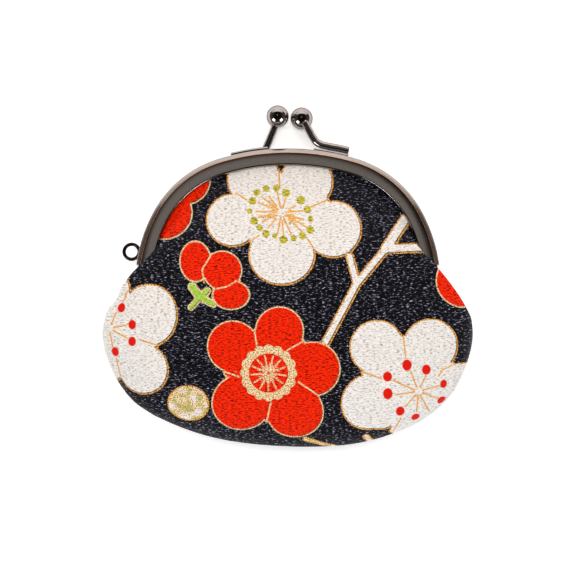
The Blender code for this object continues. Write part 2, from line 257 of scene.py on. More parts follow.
def sweep_tree():
    """Node tree that sweeps a closed profile along a line of edges."""
    made = bpy.data.node_groups.new("arch_sweep", "GeometryNodeTree")
    made.interface.new_socket("Line", in_out="INPUT", socket_type="NodeSocketGeometry")
    made.interface.new_socket("Profile", in_out="INPUT", socket_type="NodeSocketObject")
    made.interface.new_socket("Plating", in_out="INPUT", socket_type="NodeSocketMaterial")
    made.interface.new_socket("Swept", in_out="OUTPUT", socket_type="NodeSocketGeometry")
    given = add(made, "NodeGroupInput", {})
    path = add(made, "GeometryNodeMeshToCurve", {"Mesh": given.outputs["Line"]})
    upright = add(made, "GeometryNodeSetCurveNormal", {"Curve": path.outputs[0]}, mode="Z_UP")
    profile = add(made, "GeometryNodeObjectInfo", {"Object": given.outputs["Profile"]})
    swept = add(made, "GeometryNodeCurveToMesh", {"Curve": upright.outputs[0],
                                                  "Profile Curve": profile.outputs["Geometry"],
                                                  "Fill Caps": True})
    real = add(made, "GeometryNodeRealizeInstances", {0: swept.outputs[0]})
    plated = add(made, "GeometryNodeSetMaterial", {"Geometry": real.outputs[0],
                                                   "Material": given.outputs["Plating"]})
    add(made, "NodeGroupOutput", {0: plated.outputs[0]})
    return made


arch_sweep = sweep_tree()


def swept_piece(name, points, outline, plating):
    """Piece made by sweeping outline, (height over the line, z) points, along points."""
    data = bpy.data.curves.new(name + "_profile", "CURVE")
    data.dimensions = "2D"
    spline = data.splines.new("POLY")
    spline.points.add(len(outline) - 1)
    for point, (n, z) in zip(spline.points, outline):
        point.co = (-n, z, 0, 1)
    spline.use_cyclic_u = True
    profile = linked(name + "_profile", data)
    mesh = bpy.data.meshes.new(name + "_line")
    mesh.from_pydata(points, [(i, i + 1) for i in range(len(points) - 1)], [])
    made = linked(name + "_line", mesh)
    sweeper = made.modifiers.new("sweep", "NODES")
    sweeper.node_group = arch_sweep
    for item in arch_sweep.interface.items_tree:
        if item.name == "Profile":
            sweeper[item.identifier] = profile
        if item.name == "Plating":
            sweeper[item.identifier] = plating
    seen = made.evaluated_get(bpy.context.evaluated_depsgraph_get())
    result = bpy.data.meshes.new_from_object(seen)
    bpy.data.objects.remove(made, do_unlink=True)
    bpy.data.objects.remove(profile, do_unlink=True)
    return metal_piece(name, closed(result), plating)


def closed(mesh):
    """Mesh with its doubles merged and its faces outward."""
    edit = bmesh.new()
    edit.from_mesh(mesh)
    bmesh.ops.remove_doubles(edit, verts=edit.verts, dist=MERGE)
    bmesh.ops.recalc_face_normals(edit, faces=edit.faces)
    edit.to_mesh(mesh)
    edit.free()
    return mesh


def metal_piece(name, mesh, finish):
    """Object of a mesh in the purse's own axes, laid down as the purse lies, and riding."""
    mesh.name = name
    mesh.transform(lying)
    mesh.shade_smooth()
    mesh.set_sharp_from_angle(angle=SHARP_ANGLE)
    mesh.materials.clear()
    mesh.materials.append(finish)
    made = linked(name, mesh)
    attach(made, "root")
    return made


# Black nickel on rolled sheet: a warm grey mirror that the rolls left a little soft, in clouds
# of about 22 mm (a scale of 45 in a metre), with a faint unevenness of about a millimetre,
# which is coarser than the real one so that it shows
rolled_nickel, tree, shader = new_material("black_nickel_on_rolled_steel")
place = add(tree, "ShaderNodeTexCoord", {})
cloudy = add(tree, "ShaderNodeTexNoise", {"Vector": place.outputs["Object"], "Scale": 45.0,
                                          "Detail": 3.0, "Roughness": 0.6})
satin = add(tree, "ShaderNodeMapRange", {"Value": cloudy.outputs["Fac"], "From Min": 0.3,
                                         "From Max": 0.7, "To Min": 0.13, "To Max": 0.18})
tint = add(tree, "ShaderNodeMix", {"Factor": cloudy.outputs["Fac"], "A": srgb("98918c"),
                                   "B": srgb("a5a09c")}, data_type="RGBA")
rough = add(tree, "ShaderNodeTexNoise", {"Vector": place.outputs["Object"], "Scale": 900.0,
                                         "Detail": 2.0})
uneven = add(tree, "ShaderNodeBump", {"Height": rough.outputs["Fac"], "Strength": 0.05,
                                      "Distance": 0.00002})
fill(tree, shader, {"Base Color": tint.outputs["Result"], "Roughness": satin.outputs["Result"],
                    "Normal": uneven.outputs["Normal"], "Metallic": 1.0})

# Painted reflection: the orange light that the crease round the face mirrors, painted as a thin
# copper-coloured line, in lighter and darker patches of about 8 mm
painted_crease_reflection, tree, shader = new_material("painted_copper_reflection_on_crease")
place = add(tree, "ShaderNodeTexCoord", {})
reflection_patches = add(tree, "ShaderNodeTexNoise", {"Vector": place.outputs["Object"], "Scale": 120.0,
                                        "Detail": 2.0})
tint = add(tree, "ShaderNodeMix", {"Factor": reflection_patches.outputs["Fac"], "A": srgb("d98a52"),
                                   "B": srgb("f0a878")}, data_type="RGBA")
fill(tree, shader, {"Base Color": tint.outputs["Result"], "Metallic": 1.0, "Roughness": 0.42})


def paint_crease_reflection(channel):
    """Paint a copper-coloured reflection on the crease round the channel's face."""
    channel.data.materials.append(painted_crease_reflection)
    upright = lying.inverted()
    for polygon in channel.data.polygons:
        place = upright @ polygon.center
        normal = upright.to_3x3() @ polygon.normal
        outward = Vector((place.x, place.y + ARCH_MIDDLE_DROP)).normalized()
        high = abs(place.z) > FRAME_DEPTH / 2 - CREASE_ROUND / 2
        if high and normal.xy.dot(outward) > REFLECTION_LEAN:
            polygon.material_index = 1


arch_line = [arch_point(2 * step / ARCH_STEPS - 1)[0] for step in range(ARCH_STEPS + 1)]
inner = HALF_GAP / 2
face = FRAME_DEPTH / 2
for half, toward in (("front", 1), ("back", -1)):
    corners = [  # from the arch's outside, from the plane where the halves meet, radius
        (0, inner, EDGE_ROUND),
        (0, face - SHOULDER_DEPTH, BACK_ROUND),
        (-SHOULDER, face, CREASE_ROUND),
        (-CHANNEL_HEIGHT, face, LIP_ROLL),
        (-CHANNEL_HEIGHT, face - SHEET - LIP_LAP, EDGE_ROUND),
        (-CHANNEL_HEIGHT + LIP_EDGE, face - SHEET - LIP_LAP, EDGE_ROUND),
        (-SHEET - SHOULDER * INSIDE_SHOULDER, face - SHEET, INSIDE_ROUND),
        (-SHEET, face - SHEET - SHOULDER * INSIDE_SHOULDER, INSIDE_ROUND),
        (-SHEET, inner + SHEET, INSIDE_ROUND),
        (-FLANGE, inner + SHEET, INSIDE_ROUND),
        (-FLANGE, inner, INSIDE_ROUND),
    ]
    outline = [(n, toward * z) for n, z in rounded(corners)]
    channel = swept_piece("frame_channel_" + half, arch_line, outline, rolled_nickel)
    # The crease gets a painted copper-coloured reflection.
    paint_crease_reflection(channel)
    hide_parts("frame_" + half)

# Clasp arms
# Each half carries a ball on a bent stem. The stem is bar stock, brazed to a foot strip
# that is soldered along the top of the arch, and the whole is polished and plated.
STEM_DIAMETER = 0.0025
STEM_SEAT = 0.00075  # height of the stem's middle over the foot
STEM_OUT = 0.0017
TAIL_WAYS = (0.5, 0.97)  # shares of the way to the foot's end where a long tail is bent to it
FOOT_WIDTH = 0.0024
FOOT_ROUND = 0.0008
FOOT_STEPS = 40
SOLDER = 0.0002
BALL_SEGMENTS = (96, 64)
CLASP = {
    "front": {
        "side": 1, "ball_x": 0.0046, "tail_x": 0.0129, "tail_over_foot": True,
        "foot_start": 0.0085, "foot_end": 0.0199, "foot_height": 0.0014,
        "bends": [(0.120, 0.815), (0.290, 0.530), (0.434, 0.300), (0.614, 0.110)],
    },
    "back": {
        "side": -1, "ball_x": 0.0034, "tail_x": 0.0076, "tail_over_foot": False,
        "foot_start": 0.0066, "foot_end": 0.0187, "foot_height": 0.0011,
        "bends": [(0.120, 0.810), (0.357, 0.588), (0.667, 0.293)],
    },
}


def hazy_mirror(name, color, rim, scale, sharpest, haziest):
    """Metal whose colour turns by rim at its edges, and whose roughness wanders."""
    made, tree, shader = new_material(name)
    place = add(tree, "ShaderNodeTexCoord", {})
    haze = add(tree, "ShaderNodeTexNoise", {"Vector": place.outputs["Object"], "Scale": scale,
                                            "Detail": 2.0})
    polish = add(tree, "ShaderNodeMapRange", {"Value": haze.outputs["Fac"], "From Min": 0.35,
                                              "From Max": 0.65, "To Min": sharpest,
                                              "To Max": haziest})
    fill(tree, shader, {"Base Color": srgb(color), "Specular Tint": srgb(rim), "Metallic": 1.0,
                        "Roughness": polish.outputs["Result"]})
    return made


# Polished black nickel: a nearly sharp mirror that greys towards its rim, with a haze that
# wanders over 2 to 3 mm
polished_nickel = hazy_mirror("polished_black_nickel", "a8a2a0", "908884", 400.0, 0.03, 0.07)


def share_at(x):
    """Share of the arch whose outside lies x from the middle, on the top arc."""
    radius = arcs[0][0]
    return radius * math.asin(x / radius) / arch_length


def bent_wire(name, points, diameter, plating):
    """Round wire through the points, with its ends capped flat."""
    data = bpy.data.curves.new(name + "_wire", "CURVE")
    data.dimensions = "3D"
    data.bevel_depth = diameter / 2
    data.bevel_resolution = 8
    data.use_fill_caps = True
    data.resolution_u = 16
    spline = data.splines.new("BEZIER")
    spline.bezier_points.add(len(points) - 1)
    for knot, point in zip(spline.bezier_points, points):
        knot.co = point
        knot.handle_left_type = "AUTO"
        knot.handle_right_type = "AUTO"
    wire = linked(name + "_wire", data)
    seen = wire.evaluated_get(bpy.context.evaluated_depsgraph_get())
    mesh = bpy.data.meshes.new_from_object(seen)
    bpy.data.objects.remove(wire, do_unlink=True)
    return metal_piece(name, closed(mesh), plating)


def mesh_of(edit, name):
    """Mesh made from an edit, which is freed."""
    mesh = bpy.data.meshes.new(name)
    edit.to_mesh(mesh)
    edit.free()
    return mesh


for half, arm in CLASP.items():
    side = arm["side"]
    out = STEM_OUT if half == "front" else -STEM_OUT
    top = arm["foot_height"]
    ends = (share_at(arm["foot_start"]), share_at(arm["foot_end"]))
    foot_line = []
    for step in range(FOOT_STEPS + 1):
        way = ends[0] + (ends[1] - ends[0]) * step / FOOT_STEPS
        foot_line.append(arch_point(side * way)[0])
    if side < 0:
        foot_line.reverse()
    section = rounded([(-SOLDER, out - FOOT_WIDTH / 2, 0), (-SOLDER, out + FOOT_WIDTH / 2, 0),
                       (top, out + FOOT_WIDTH / 2, FOOT_ROUND),
                       (top, out - FOOT_WIDTH / 2, FOOT_ROUND)])
    swept_piece("clasp_foot_" + half, foot_line, section, polished_nickel)

    lift = top + STEM_SEAT if arm["tail_over_foot"] else top / 2
    tail, outward = arch_point(share_at(arm["tail_x"]))
    tail += outward * lift
    ball_y = arch_height + BALL_RISE[half]
    route = []
    for across, rise in arm["bends"]:
        route.append((side * (arm["ball_x"] + across * (tail.x - arm["ball_x"])),
                      tail.y + rise * (ball_y - tail.y), out))
    route.append((side * tail.x, tail.y, out))
    if arm["tail_over_foot"]:
        for way in TAIL_WAYS:
            place, outward = arch_point(share_at(arm["tail_x"]
                                                 + way * (arm["foot_end"] - arm["tail_x"])))
            place += outward * lift
            route.append((side * place.x, place.y, out))
    bent_wire("clasp_stem_" + half, route, STEM_DIAMETER, polished_nickel)

    edit = bmesh.new()
    bmesh.ops.create_uvsphere(edit, u_segments=BALL_SEGMENTS[0], v_segments=BALL_SEGMENTS[1],
                              radius=BALL_DIAMETER / 2)
    cross = -BALL_CROSS if half == "front" else BALL_CROSS
    bmesh.ops.translate(edit, verts=edit.verts, vec=(side * arm["ball_x"], ball_y, cross))
    metal_piece("clasp_ball_" + half, mesh_of(edit, "clasp_ball"), polished_nickel)

# Strap loop
# A ring of round wire soldered to the left leg of the back half, for a wrist strap.
LOOP_DIAMETER = 0.0062
LOOP_WIRE = 0.0012
LOOP_PLACE = 0.936
LOOP_SEGMENTS = (96, 32)

# Black nickel on drawn wire, its colour painted darker than on the polished balls as painted
# shade for the dark room that it mirrors, with a haze that wanders over a millimetre or two
loop_nickel_painted_dark = hazy_mirror("black_nickel_on_wire_with_painted_shade", "443c3a", "ffffff", 700.0, 0.10, 0.18)


def ring(name, middle, radius, wire, plating):
    """Round ring lying in the frame's plane."""
    around, about = LOOP_SEGMENTS
    points = []
    faces = []
    for i in range(around):
        for j in range(about):
            turn, roll = 2 * math.pi * i / around, 2 * math.pi * j / about
            out = radius + wire / 2 * math.cos(roll)
            points.append(middle + Vector((out * math.cos(turn), out * math.sin(turn),
                                           wire / 2 * math.sin(roll))))
            next_i, next_j = (i + 1) % around, (j + 1) % about
            faces.append((i * about + j, next_i * about + j, next_i * about + next_j,
                          i * about + next_j))
    mesh = bpy.data.meshes.new(name)
    mesh.from_pydata(points, [], faces)
    return metal_piece(name, mesh, plating)


place, outward = arch_point(-LOOP_PLACE)
middle = place + outward * (LOOP_DIAMETER / 2 - 2 * SOLDER)
middle.z = -STEM_OUT
# The loop's darker colour is painted shade.
ring("strap_loop", middle, (LOOP_DIAMETER - LOOP_WIRE) / 2, LOOP_WIRE, loop_nickel_painted_dark)

# Hinges
# A punched ear is soldered inside each channel's end, and a rivet holds the two ears
# together. The cloth covers them.
RIVET_DIAMETER = 0.0016
RIVET_CLEARANCE = 0.0003
RIVET_HEAD_DIAMETER = 0.0030
RIVET_HEAD_HEIGHT = 0.0005
EAR_DIAMETER = 0.0044
EAR_DROP = 0.0030
EAR_ROOT = 0.0030
EAR_STEPS = 24
EAR_TURN = (-10, 190)  # degrees of the ear's round end
HEAD_DOME = [(0.0, 1.0), (0.32, 0.85), (0.46, 0.5)]  # shares of head diameter and height
RIVET_STEPS = 32

for side, side_name in ((-1, "left"), (1, "right")):
    for half, toward, layer in (("front", 1, 1), ("back", -1, 2)):
        radius = EAR_DIAMETER / 2
        outline = []
        for step in range(EAR_STEPS + 1):
            angle = math.radians(EAR_TURN[0] + (EAR_TURN[1] - EAR_TURN[0]) * step / EAR_STEPS)
            outline.append((-math.cos(angle) * radius, -math.sin(angle) * radius))
        reach = FRAME_DEPTH / 2 - SHOULDER - SOLDER
        inside = HALF_GAP / 2 + SHEET - SOLDER
        outline += [(reach, EAR_DROP), (reach, EAR_DROP + EAR_ROOT),
                    (inside, EAR_DROP + EAR_ROOT), (inside, EAR_DROP)]
        outer = side * (FRAME_WIDTH / 2 - layer * SHEET - (layer - 1) * RIVET_CLEARANCE)
        edit = bmesh.new()
        face = edit.faces.new([edit.verts.new((outer, y - EAR_DROP, toward * z))
                               for z, y in outline])
        grown = bmesh.ops.extrude_face_region(edit, geom=[face])
        moved = [item for item in grown["geom"] if isinstance(item, bmesh.types.BMVert)]
        bmesh.ops.translate(edit, verts=moved, vec=(-side * SHEET, 0, 0))
        bmesh.ops.recalc_face_normals(edit, faces=edit.faces)
        metal_piece(f"hinge_ear_{half}_{side_name}", mesh_of(edit, "hinge_ear"), rolled_nickel)

    # Rivet with a domed head at each end, turned about the X axis
    stack = 2 * SHEET + RIVET_CLEARANCE
    half_grip = stack / 2 + RIVET_CLEARANCE
    shank = [(RIVET_HEAD_DIAMETER * wide, -half_grip - RIVET_HEAD_HEIGHT * high)
             for wide, high in HEAD_DOME]
    shank += [(RIVET_HEAD_DIAMETER / 2, -half_grip), (RIVET_DIAMETER / 2, -half_grip)]
    shank += [(r, -x) for r, x in reversed(shank)]
    middle = side * (FRAME_WIDTH / 2 - SHEET - stack / 2)
    edit = bmesh.new()
    for (r0, x0), (r1, x1) in zip(shank, shank[1:]):
        for i in range(RIVET_STEPS):
            corners = []
            for r, x, k in ((r0, x0, i), (r0, x0, i + 1), (r1, x1, i + 1), (r1, x1, i)):
                angle = 2 * math.pi * k / RIVET_STEPS
                corners.append(edit.verts.new((middle + x, -EAR_DROP + r * math.cos(angle),
                                               r * math.sin(angle))))
            edit.faces.new(corners)
    bmesh.ops.remove_doubles(edit, verts=edit.verts, dist=1e-6)
    bmesh.ops.dissolve_degenerate(edit, edges=edit.edges, dist=1e-6)
    bmesh.ops.recalc_face_normals(edit, faces=edit.faces)
    pin = metal_piece("hinge_pin_" + side_name, mesh_of(edit, "hinge_rivet"), polished_nickel)
    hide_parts("hinge_rivet_" + side_name)

# Cloth panels
# Two panels of chirimen crepe, navy with printed plum blossom, on interfacing and lining.
# Each is gathered into its channel, glued and crimped there, and the two are sewn together
# along the seam, which is turned in.
BAG_WIDTH = 0.1238
BELLY = 0.0190
CLOTH = 0.0010
CLOTH_CLEARANCE = 0.0003
CLOTH_EDGE = 0.0024
SEAM_GAP = 0.0004
BOTTOM_LEAN = -0.040
LIP_ROUND = 0.0004
RIBS = [  # arch share, crest x and y, height, seam x and y, from the middle to a hinge
    (0.000, 0.000, -0.30, 1.000, 0.000, -0.992),
    (0.128, 0.165, -0.30, 0.990, 0.215, -0.985),
    (0.257, 0.330, -0.30, 0.955, 0.420, -0.955),
    (0.385, 0.485, -0.29, 0.890, 0.615, -0.885),
    (0.514, 0.610, -0.27, 0.800, 0.790, -0.790),
    (0.628, 0.710, -0.22, 0.690, 0.898, -0.660),
    (0.728, 0.775, -0.15, 0.590, 0.966, -0.500),
    (0.813, 0.815, -0.08, 0.500, 0.995, -0.345),
    (0.884, 0.815, -0.03, 0.425, 0.945, -0.215),
    (0.934, 0.775, -0.045, 0.350, 0.840, -0.145),
    (0.970, 0.700, -0.045, 0.200, 0.715, -0.088),
]
# Shares along a rib's two curves, where its points are, and how far the curves reach
TO_CREST = (0.34, 0.67, 1.0)
TO_SEAM = (0.28, 0.56, 0.82, 1.0)
LIP_IN = 0.14
LIP_UP = 0.55
CREST_REACH = 0.42
SEAM_UP = 0.55
# Steps of the smooth surface, and the rib point at the lip and at the crest
COLUMNS_PER_RIB = 20
LIP_ROWS = 8
BODY_ROWS = 24
LIP_CELL = 2
CREST_CELL = 5
WALL_STEP = 4
# The print is charted in steps of PIXEL, from the far left corner of what the camera sees
# at the height PLANE_Z
PIXEL = 0.00033
CHART_MIDDLE = 290.0
PLANE_Z = 0.010
# Soft waves: (depth, length). Gathers and puckers: (depth, length, reach from the edge)
WAVES = ((0.00040, 0.013), (0.00012, 0.005))
GATHERS = (0.00042, 0.0022, 0.005)
PUCKERS = (0.00040, 0.0045, 0.007)
# Over these lengths the glued lip and the seam hold the cloth flat
HELD_AT_LIP = 0.0020
HELD_AT_SEAM = 0.0015
# The back draws in near the seam: (depth, reach). The dent's place and size are in the chart
BACK_TUCK = (0.0005, 0.010)
DENT_PLACE = (112, 298)
DENT_SIZE = (16, 7)
DENT_DEPTH = 0.0009
SEEDS = {"front": 1.0, "back": 5.0}
SEED_STEP = 7


def bezier(points, share):
    """Point on a cubic curve."""
    a, b, c, d = points
    rest = 1 - share
    return (a * rest ** 3 + b * 3 * rest ** 2 * share + c * 3 * rest * share ** 2
            + d * share ** 3)


def rib_points(rib, side):
    """One rib of the front panel's outside, from the channel to the seam."""
    arch, crest_x, crest_y, height, seam_x, seam_y = rib
    groove = FRAME_DEPTH / 2 - SHEET - CLOTH_CLEARANCE
    lip_turn = CHANNEL_HEIGHT + CLOTH_CLEARANCE + LIP_ROUND + CLOTH / 2
    place, outward = arch_point(side * arch)
    up = Vector((0, 0, 1))
    edge = place - outward * CLOTH_EDGE + up * groove
    grip = place - outward * (CHANNEL_HEIGHT - LIP_ROUND) + up * (groove - CLOTH_CLEARANCE)
    lip = place - outward * lip_turn + up * groove
    lean = BOTTOM_LEAN * side * seam_x * BAG_WIDTH / 2 * (1 - seam_x ** 2)
    seam = Vector((side * seam_x * BAG_WIDTH / 2, seam_y * BAG_DROP + lean, SEAM_GAP / 2))
    crest = Vector((side * crest_x * BAG_WIDTH / 2, crest_y * BAG_DROP, height * BELLY))
    along = seam - lip
    along.z = 0
    along.normalize()
    rise = crest.z - lip.z
    fall = (seam - crest).length
    to_crest = (lip, lip - outward * rise * LIP_IN + up * rise * LIP_UP,
                crest - along * (crest - lip).length * CREST_REACH, crest)
    hem = seam + up * CLOTH
    to_seam = (crest, crest + along * fall * CREST_REACH, hem + up * crest.z * SEAM_UP, hem)
    points = [edge, grip, lip]
    points += [bezier(to_crest, share) for share in TO_CREST]
    points += [bezier(to_seam, share) for share in TO_SEAM]
    points.append(seam)
    return points


def spline_weights(places, count):
    """Share of each of count cage lines in the smooth surface at each place."""
    table = np.zeros((len(places), count))
    for i, place in enumerate(places):
        cell = min(int(place), count - 2)
        t = place - cell
        parts = ((1 - t) ** 3 / 6, (3 * t ** 3 - 6 * t * t + 4) / 6,
                 (-3 * t ** 3 + 3 * t * t + 3 * t + 1) / 6, t ** 3 / 6)
        for index, part in zip(range(cell - 1, cell + 3), parts):
            if index < 0:
                table[i, 0] += 2 * part
                table[i, 1] -= part
            elif index >= count:
                table[i, -1] += 2 * part
                table[i, -2] -= part
            else:
                table[i, index] += part
    return table


def table_depth(y):
    """Depth of the table below the frame's middle plane, in the purse's own axes."""
    return (rest_height - y * math.sin(REST_TILT)) / math.cos(REST_TILT)


ribs = [rib_points(rib, -1) for rib in reversed(RIBS[1:])] + [rib_points(rib, 1) for rib in RIBS]
columns, rows = len(ribs), len(ribs[0])
across = np.linspace(0, columns - 1, (columns - 1) * COLUMNS_PER_RIB + 1)
down = np.concatenate([np.linspace(0, LIP_CELL, LIP_ROWS + 1)[:-1],
                       np.linspace(LIP_CELL, rows - 1, (rows - 1 - LIP_CELL) * BODY_ROWS + 1)])
lip_row = LIP_ROWS
crest_row = LIP_ROWS + (CREST_CELL - LIP_CELL) * BODY_ROWS
lay_down = np.array(lying)


def smooth_surface(cage):
    """Points of the smooth surface over a cage, one for each column and row."""
    return np.einsum("ui,vj,ijk->uvk", spline_weights(across, columns),
                     spline_weights(down, rows), cage)


def normals_of(surface, toward):
    """Unit normals out of the bag: toward is 1 for the front panel and -1 for the back."""
    du = np.gradient(surface, axis=0)
    dv = np.gradient(surface, axis=1)
    normal = toward * np.cross(dv, du)
    return normal / np.maximum(np.linalg.norm(normal, axis=2, keepdims=True), 1e-12)


def seen_at(surface):
    """Where each point shows from above, in units of PIXEL from the picture's corner."""
    world = surface @ lay_down[:3, :3].T + lay_down[:3, 3]
    reach = (CAMERA_PLACE[2] - PLANE_Z) / (CAMERA_PLACE[2] - world[..., 2]) / PIXEL
    return np.stack([CHART_MIDDLE + (world[..., 0] - CAMERA_PLACE[0]) * reach,
                     CHART_MIDDLE - (world[..., 1] - CAMERA_PLACE[1]) * reach], axis=-1)


def step_lengths(surface):
    """Lengths of the steps down each column."""
    return np.linalg.norm(np.diff(surface, axis=1), axis=2)


def unrolled_charts(surface):
    """Places of the points in the print and in the grain, as seen from above but unrolled.

    The print is unrolled on the steep side at the seam, and the grain at the lip as well.
    """
    seen = seen_at(surface)
    more = np.maximum(step_lengths(surface) / PIXEL - step_lengths(seen), 0)
    none = np.zeros((more.shape[0], 1))
    to_seam, to_lip = more.copy(), more.copy()
    to_seam[:, :crest_row] = 0
    to_lip[:, crest_row:] = 0
    charts = [seen]
    for row, added in ((-1, np.concatenate([none, np.cumsum(to_seam, axis=1)], axis=1)),
                       (lip_row, np.concatenate([np.cumsum(to_lip[:, ::-1], axis=1)[:, ::-1],
                                                 none], axis=1))):
        way = seen[:, row] - seen[:, crest_row]
        way /= np.linalg.norm(way, axis=1, keepdims=True)
        charts.append(charts[-1] + way[:, None, :] * added[..., None])
    return charts[1], charts[2]


cage = np.array([[list(point) for point in rib] for rib in ribs])
front = smooth_surface(cage)
back_cage = cage.copy()
back_cage[..., 2] = -np.minimum(cage[..., 2], table_depth(cage[..., 1]))
back = smooth_surface(back_cage)
front_seen = seen_at(front)
front_chart, front_grain = unrolled_charts(front)


def unrolled(x, y):
    """Place in the print of what is seen at (x, y) from above."""
    away = np.linalg.norm(front_seen[:, lip_row:] - (x, y), axis=2)
    u, v = np.unravel_index(np.argmin(away), away.shape)
    shift = front_chart[u, v + lip_row] - front_seen[u, v + lip_row]
    return np.array((x, y)) + shift


def disc(at, middle, rx, ry=None):
    """Signed distance to an ellipse's outline, below 0 inside."""
    ry = ry or rx
    way = np.hypot((at[..., 0] - middle[0]) / rx, (at[..., 1] - middle[1]) / ry)
    return (way - 1) * min(rx, ry)


def bar(at, start, end, half):
    """Signed distance to a round-ended bar's outline."""
    start, end = np.array(start), np.array(end)
    line = end - start
    share = np.clip(((at - start) @ line) / (line @ line), 0, 1)
    return np.linalg.norm(at - start - share[..., None] * line, axis=-1) - half


def discs(at, places):
    """Signed distances to ellipses whose middles are given as seen from above."""
    return [disc(at, unrolled(x, y), rx, ry) for x, y, rx, ry in places]


def bars(at, places):
    """Signed distances to bars whose ends are given as seen from above."""
    return [bar(at, unrolled(a, b), unrolled(c, d), half) for a, b, c, d, half in places]


def union(parts):
    """Signed distance to the nearest of several shapes."""
    return np.minimum.reduce(parts)


# The print, measured from the picture in its own pixels: x to the right and y down. Petals,
# dots and buds are x, y and the two radii, pollen x, y and radius, bars both ends and half
# the width, lines both ends, and rays degrees and reach. A far petal lies dx, dy past x, y.
BLOSSOMS = {
    "white_top": {
        "heart": (281.5, 212.5),
        "petals": [(232.5, 220.5, 26, 26), (254, 179.5, 26.5, 26.5), (306.3, 182.3, 26.6, 26.6),
                   (333.5, 229.5, 28, 28), (282, 254.5, 33, 30.5)],
        "far_petals": [],
        "divisions": [(236.6, 193.6, 246.4, 200), (250.4, 240.7, 259, 235.5),
                      (313.5, 247.8, 308.2, 239.7), (327.6, 200.2, 310, 207.6),
                      (279, 173.5, 279.6, 188)],
        "rays": [(102, 20), (128, 20), (142, 25), (157, 24), (178, 25), (192, 23), (206, 21),
                 (229, 20), (259, 22), (275, 22), (294, 24), (317, 28), (330, 29), (342, 23),
                 (4, 21), (26, 15), (73, 14)],
    },
    "white_right": {
        "heart": (418.5, 391.5),
        "petals": [(377, 347.5, 27, 27), (430.5, 346.5, 27.3, 27.3), (371, 403.5, 29.5, 29.5)],
        "far_petals": [(450.9, 365.7, 6, 25.5, 27), (400.6, 418.2, 22, 12, 31)],
        "lobes": [(382, 414, 19, 19)],
        "divisions": [(403.4, 336.8, 405.8, 357.4), (362.9, 372, 380.8, 378.4),
                      (439.2, 375.5, 443, 369.5), (443, 369.5, 451, 365.7),
                      (400.6, 418.2, 392.9, 430.1)],
        "ray_ends": [(410.6, 370.8), (425.9, 376.1), (393.4, 380.4), (395.8, 394.7),
                     (405.8, 406.2), (416.8, 411), (429.3, 411), (437.4, 398.1), (438.4, 386.1)],
    },
    "white_left": {
        "heart": (109.5, 328.2),
        "petals": [(149.5, 315.5, 28, 31), (142.5, 370, 25.8, 25.8)],
        "far_petals": [(109.5, 328.2, -6, -38, 27.5), (109.5, 328.2, -15, 43, 26.5),
                       (109.5, 328.2, -41, 2, 27)],
        "divisions": [(157, 345.3, 140, 339.6), (127.8, 290, 121.5, 301.2), (116.5, 359, 120, 376)],
        "ray_ends": [(116.2, 312.8), (126.4, 325), (127, 338), (113, 346.1)],
    },
}
POLLEN = [(256.8, 192.5, 3.5), (266, 188.4, 3.5), (276.4, 188, 3.5), (286.1, 193, 4.2),
          (252.5, 201.2, 4), (249.6, 211.2, 2.8), (254.1, 220.7, 4), (259.6, 227.8, 3.2),
          (266, 233.7, 3.8), (274.7, 236.1, 2.8), (283.4, 239.7, 4.2), (293.7, 238.3, 3.2),
          (300.8, 200.2, 4.3), (307.5, 209.6, 3.8), (310.6, 219, 3), (310.2, 229.7, 4),
          (302.5, 235.7, 3.8)]
RED_DOTS = [(407, 365.1, 4.8, 5.7), (426.6, 369.7, 4.5, 5.2), (387.5, 376.6, 4.6, 5),
            (387.7, 393.6, 4.8, 5.8), (400.1, 411, 4.4, 5.3), (415.7, 417.2, 4.4, 5),
            (441.5, 400, 4.4, 5), (443.6, 383.9, 3.4, 4.6), (121, 307.6, 3.8, 4.8),
            (132, 324.6, 3.8, 4.8), (132, 341.4, 3.8, 4.8), (115.5, 351.6, 3.8, 4.8)]
RED_PETALS = [(233, 346.5, 25.5, 25.5), (279.5, 331, 24, 24), (313, 369, 27, 27),
              (241, 403.5, 29, 29), (295, 412, 28.3, 28.3)]
RED_DIVISIONS = [(254.5, 331.2, 257, 346.5), (225.2, 372, 239.2, 377), (303, 341.4, 287, 350.4),
                 (317, 394.4, 299, 382.2), (266.7, 420.5, 271, 402.6)]
RED_HEART = (268.6, 373)
RED_BUD = [(195.5, 261.5, 15.5, 20), (222.5, 270.5, 19.3, 19.3), (231, 295, 18.5, 14.5)]
RED_BUD_DIVISIONS = [(210.2, 256.8, 202, 269.4), (202, 269.4, 203.9, 282),
                     (236.6, 280.9, 227.4, 286.6), (227.4, 286.6, 213, 289.5)]
RED_TOP_LEFT = [(165, 212.5, 27, 27), (184.5, 178.5, 26, 26)]
RED_FAR_RIGHT = (437, 280, 27, 0, 27.5)
CALYX = [(200.1, 297.4, 192, 286.5, 3.9), (200.1, 297.4, 207, 291, 3.4),
         (200.1, 297.4, 191, 307.5, 2.7), (200.1, 297.4, 213.5, 304, 3.1)]
BRANCH = [(325, 344, 357, 284, 4), (357, 284, 350, 257, 3.7), (357, 284, 386, 249, 4),
          (386, 249, 405.3, 219.6, 5.3), (386, 249, 424, 247.8, 4.4)]
TWIGS = [(305.5, 438.4, 333.6, 445.4, 2.5), (366, 436, 371, 441, 3)]
PALE_BUD = (188.2, 404.2, 20.5, 19.3)
# Webs fill the notches between petals: half their width, and how far in they start. Rays
# start in turn nearer to the heart and further from it
WEB_HALF = 3.8
WEB_START = 2.66
RAY_STARTS = (5, 9)
SCALLOPS = {"count": 16, "reach": 23.4, "radius": 5.2, "band": 23.2, "half": 3.0, "hole": 19.6}
RED_RAYS = {"count": 13, "first": 0.3, "start": 3, "end": 17}
OUTSIDE = 99.0
FILL_SHIFT = 0.7  # how far the colours lie beside their outlines
BACK_SHIFT = (14, 560)  # the back has the print turned over and moved so far


